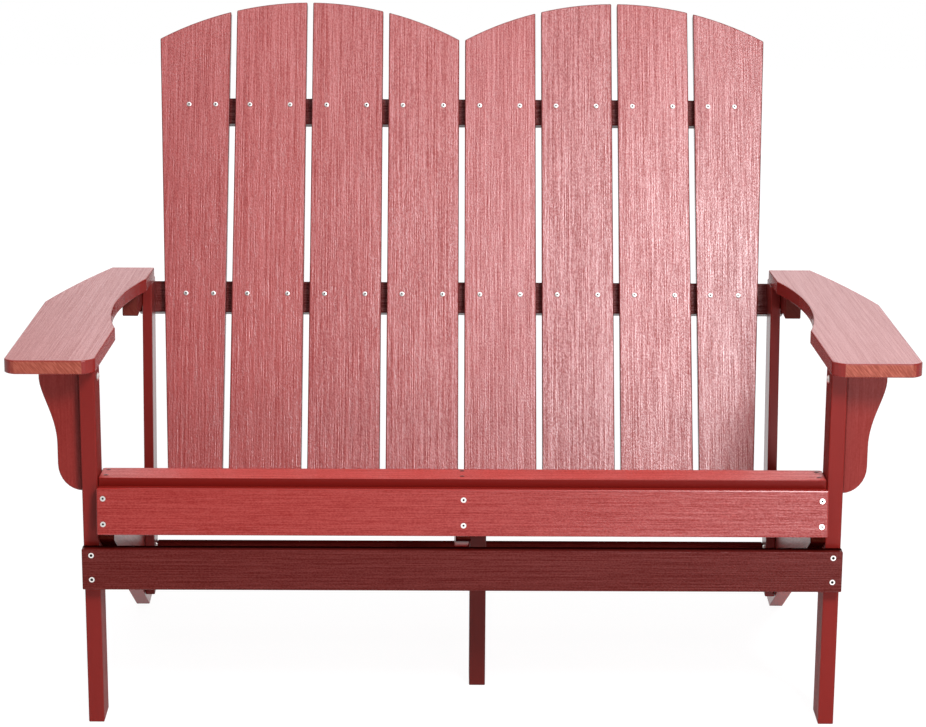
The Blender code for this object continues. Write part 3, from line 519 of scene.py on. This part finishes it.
def steelFinish(name):
    look = steels[name]
    material, tree = newMaterial(name)
    place = addNode(tree, "ShaderNodeTexCoord").outputs["Object"]
    scratches = addNode(tree, "ShaderNodeTexNoise", {
        "Vector": place, "Scale": steelLook["scratch"], "Detail": steelLook["scratchDetail"]})
    value = scratches.outputs["Fac"]
    bright = [part * look["level"] for part in steelLook["colour"]]
    worn = [part * much for part, much in zip(bright, steelLook["worn"])]
    colour = mixColour(tree, rangeNode(tree, value, *steelLook["wornSpan"], 0.0, 1.0),
                       (*worn, 1), (*bright, 1))
    # painted shade: where ambient occlusion finds the socket, the colour turns to the dark socket
    # colour
    shade = addNode(tree, "ShaderNodeAmbientOcclusion", {"Distance": look["hollow"]},
                    samples=steelLook["shadeSamples"], only_local=True)
    clear = rangeNode(tree, shade.outputs["AO"], *look["clearness"], 0.0, 1.0)
    colour = mixColour(tree, clear, steelLook["socket"], colour)
    rough = rangeNode(tree, value, *steelLook["roughSpan"],
                      steelLook["rough"] + steelLook["smoother"],
                      steelLook["rough"] + steelLook["rougher"])
    bump = addNode(tree, "ShaderNodeBump", {
        "Strength": steelLook["scratchBump"], "Distance": steelLook["scratchDepth"],
        "Height": value})
    shader = addNode(tree, "ShaderNodeBsdfPrincipled", {
        "Base Color": colour, "Roughness": rough, "Normal": bump.outputs[0]})
    shader.inputs["Metallic"].default_value = 1.0
    addNode(tree, "ShaderNodeOutputMaterial", {"Surface": shader.outputs[0]})
    return material


# low and high: the two colours that the mottling mixes, scale: how fine it is, per metre
mottles = {
    # the first of these is painted shade: the colour of dark discs in the apron screws' sockets
    "socketShade": {"low": (0.004, 0.004, 0.004, 1), "high": (0.020, 0.016, 0.014, 1),
                   "scale": 900.0, "rough": 0.7, "specular": 0.1},
    "capRed": {"low": (0.035, 0.004, 0.003, 1), "high": (0.16, 0.012, 0.009, 1),
               "scale": 700.0, "rough": 0.30, "specular": 0.5},
}


def mottledFinish(name):
    look = mottles[name]
    material, tree = newMaterial(name)
    place = addNode(tree, "ShaderNodeTexCoord").outputs["Object"]
    value = addNode(tree, "ShaderNodeTexNoise", {
        "Vector": place, "Scale": look["scale"], "Detail": 2.0}).outputs["Fac"]
    colour = mixColour(tree, value, look["low"], look["high"])
    shader = addNode(tree, "ShaderNodeBsdfPrincipled", {"Base Color": colour})
    shader.inputs["Roughness"].default_value = look["rough"]
    shader.inputs["Specular IOR Level"].default_value = look["specular"]
    addNode(tree, "ShaderNodeOutputMaterial", {"Surface": shader.outputs[0]})
    return material


screwSteel = steelFinish("screwSteel")
backSteel = steelFinish("backSteel")
for name in sorted(nodes):
    if "_screw_" in name:
        setMaterial(nodes[name], screwSteel)
print("screws finished")

screwHead = {
    "radius": 0.0037, "proud": 0.0010, "sunk": 0.0010, "sides": 20,
    "rim": 0.0006, "rimSteps": 2, "crease": math.radians(40),
    "socket": 0.0016, "socketDepth": 0.0009, "socketTaper": 0.7,
    "topArea": 0.00001,                    # square metres, more than a face of the rim has
}
facesUp = 0.9                              # a top face's normal has at least this Z


def selectFaces(piece, test):
    bpy.ops.object.mode_set(mode="OBJECT")
    for part in (piece.data.vertices, piece.data.edges, piece.data.polygons):
        part.foreach_set("select", [False] * len(part))
    for polygon in piece.data.polygons:
        polygon.select = test(polygon)
    bpy.ops.object.mode_set(mode="EDIT")
    bpy.ops.mesh.select_mode(type="FACE")


def modelScrewHead():
    deselectAll()
    depth = screwHead["proud"] + screwHead["sunk"]
    middle = (screwHead["proud"] - screwHead["sunk"]) / 2
    bpy.ops.mesh.primitive_cylinder_add(vertices=screwHead["sides"], radius=screwHead["radius"],
                                        depth=depth, location=(0, 0, middle))
    head = bpy.context.object
    bpy.ops.object.transform_apply(location=True, rotation=True, scale=True)
    selectFaces(head, lambda face: face.normal.z > facesUp)
    bpy.ops.mesh.bevel(offset=screwHead["rim"], segments=screwHead["rimSteps"], affect="EDGES")
    selectFaces(head, lambda face: face.normal.z > facesUp and face.area > screwHead["topArea"])
    bpy.ops.mesh.inset(thickness=screwHead["radius"] - screwHead["rim"] - screwHead["socket"])
    bpy.ops.mesh.extrude_region_move(
        TRANSFORM_OT_translate={"value": (0, 0, -screwHead["socketDepth"])})
    bpy.ops.transform.resize(value=(screwHead["socketTaper"], screwHead["socketTaper"], 1))
    bpy.ops.object.mode_set(mode="OBJECT")
    bpy.ops.object.shade_smooth_by_angle(angle=screwHead["crease"])
    return head


def screwRow(name, pattern, spots, material):
    made = []
    for point, outward in spots:
        copy = pattern.copy()
        copy.data = pattern.data.copy()
        bpy.context.collection.objects.link(copy)
        turn = Vector(outward).to_track_quat("Z", "X").to_matrix().to_4x4()
        copy.data.transform(Matrix.Translation(point) @ turn)
        made.append(copy)
    deselectAll()
    for copy in made:
        copy.select_set(True)
    bpy.context.view_layer.objects.active = made[0]
    if len(made) > 1:
        bpy.ops.object.join()
    row = bpy.context.object
    row.name = name
    setMaterial(row, material)
    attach(row, "root")


screwHeadPattern = modelScrewHead()

# the back's small screws: each one's X, from the left, and each row's height along the slats
backScrews = {
    "floorFront": 0.2624,          # where the face would meet the floor, from the legs' fronts
    "upper": {"height": 0.862,
              "across": (-0.4274, -0.3858, -0.3322, -0.2693, -0.2120, -0.1494, -0.0926, -0.0292,
                         0.0277, 0.0905, 0.1473, 0.2101, 0.2669, 0.3302, 0.3855, 0.4271)},
    "middle": {"height": 0.559,
               "across": (-0.4258, -0.3833, -0.3312, -0.2690, -0.2119, -0.1493, -0.0921, -0.0294,
                          0.0283, 0.0905, 0.1480, 0.2107, 0.2674, 0.3299, 0.3849, 0.4281)},
    "foot": {"height": 0.2745,
             "across": (-0.4200, -0.3790, -0.3306, -0.2686, -0.2108, -0.1488, -0.0910, -0.0290,
                        0.0290, 0.0910, 0.1488, 0.2108, 0.2686, 0.3306, 0.3790, 0.4200)},
}


def backSpot(x, height):
    start = Vector((x, backScrews["floorFront"] + seat["front"], 0))
    return start + backUp * height


for rowName in ("upper", "middle", "foot"):
    row = backScrews[rowName]
    spots = [(backSpot(x, row["height"]), backOut) for x in row["across"]]
    screwRow("backScrews" + rowName.capitalize(), screwHeadPattern, spots, backSteel)
print("back screws set")

# dark discs in the apron screws' drive sockets, painted shade in these recesses
driveSocket = {
    "radius": 0.0020, "depth": 0.0006, "proud": 0.0003, "sides": 12,
    "floor": 0.0014, "dish": 0.0002, "crease": math.radians(30),
}


def modelDriveSocket():
    deselectAll()
    middle = driveSocket["proud"] - driveSocket["depth"] / 2
    bpy.ops.mesh.primitive_cylinder_add(vertices=driveSocket["sides"],
                                        radius=driveSocket["radius"],
                                        depth=driveSocket["depth"], location=(0, 0, middle))
    socket = bpy.context.object
    bpy.ops.object.transform_apply(location=True, rotation=True, scale=True)
    selectFaces(socket, lambda face: face.normal.z > facesUp)
    bpy.ops.mesh.inset(thickness=driveSocket["radius"] - driveSocket["floor"])
    bpy.ops.transform.translate(value=(0, 0, -driveSocket["dish"]))
    bpy.ops.object.mode_set(mode="OBJECT")
    bpy.ops.object.shade_smooth_by_angle(angle=driveSocket["crease"])
    return socket


def headSpot(name):
    low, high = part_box(name)
    return Vector(((low[0] + high[0]) / 2, low[1], (low[2] + high[2]) / 2)), (0, -1, 0)


socketPattern = modelDriveSocket()
screwRow("apronSocketShades", socketPattern,
         [headSpot(name) for name in sorted(nodes) if name.startswith("apron_screw_")],
         mottledFinish("socketShade"))
bpy.data.objects.remove(socketPattern, do_unlink=True)
print("apron sockets set")

# two dark red capped screws in each seat board at each stringer, sunk a little
seatScrews = {
    "boards": 6,
    "side": 0.4965, "middle": -0.0010,           # X of the rows
    "frontInset": 0.0150, "rearInset": 0.0100,   # from the board's edges, along it
    "sink": 0.0004, "size": 0.95,
}


# from the box around a board that falls away at the slope
def boardThickness(name, slope):
    low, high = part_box(name)
    depth = high[1] - low[1]
    return ((high[2] - low[2] - depth * math.sin(slope) / math.cos(slope))
            / (math.cos(slope) - math.sin(slope) ** 2 / math.cos(slope)))


def seatSpots(name, slope):
    low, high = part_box(name)
    fall = Vector((0, math.cos(slope), -math.sin(slope)))
    outward = Vector((0, math.sin(slope), math.cos(slope)))
    lean = seatThickness * math.sin(slope)
    width = (high[1] - low[1] - lean) / math.cos(slope)
    edge = Vector((0, low[1] + lean, high[2]))
    spots = []
    for x in (-seatScrews["side"], seatScrews["middle"], seatScrews["side"]):
        for reach in (seatScrews["frontInset"], width - seatScrews["rearInset"]):
            point = edge + fall * reach - outward * seatScrews["sink"]
            spots.append((Vector((x, point.y, point.z)), outward))
    return spots


seatThickness = boardThickness("seat_board_1", seat["firstSlope"])
print("seat boards' thickness:", round(seatThickness, 4))

deselectAll()
capPattern = screwHeadPattern.copy()
capPattern.data = screwHeadPattern.data.copy()
bpy.context.collection.objects.link(capPattern)
capPattern.data.transform(Matrix.Diagonal((seatScrews["size"], seatScrews["size"], 1, 1)))
capRed = mottledFinish("capRed")
for number in range(1, seatScrews["boards"] + 1):
    boardName = "seat_board_%d" % number
    slope = seat["firstSlope"] if number == 1 else seat["slope"]
    screwRow("seatScrews%d" % number, capPattern, seatSpots(boardName, slope), capRed)
bpy.data.objects.remove(capPattern, do_unlink=True)
print("seat screws set")

bpy.data.objects.remove(screwHeadPattern, do_unlink=True)
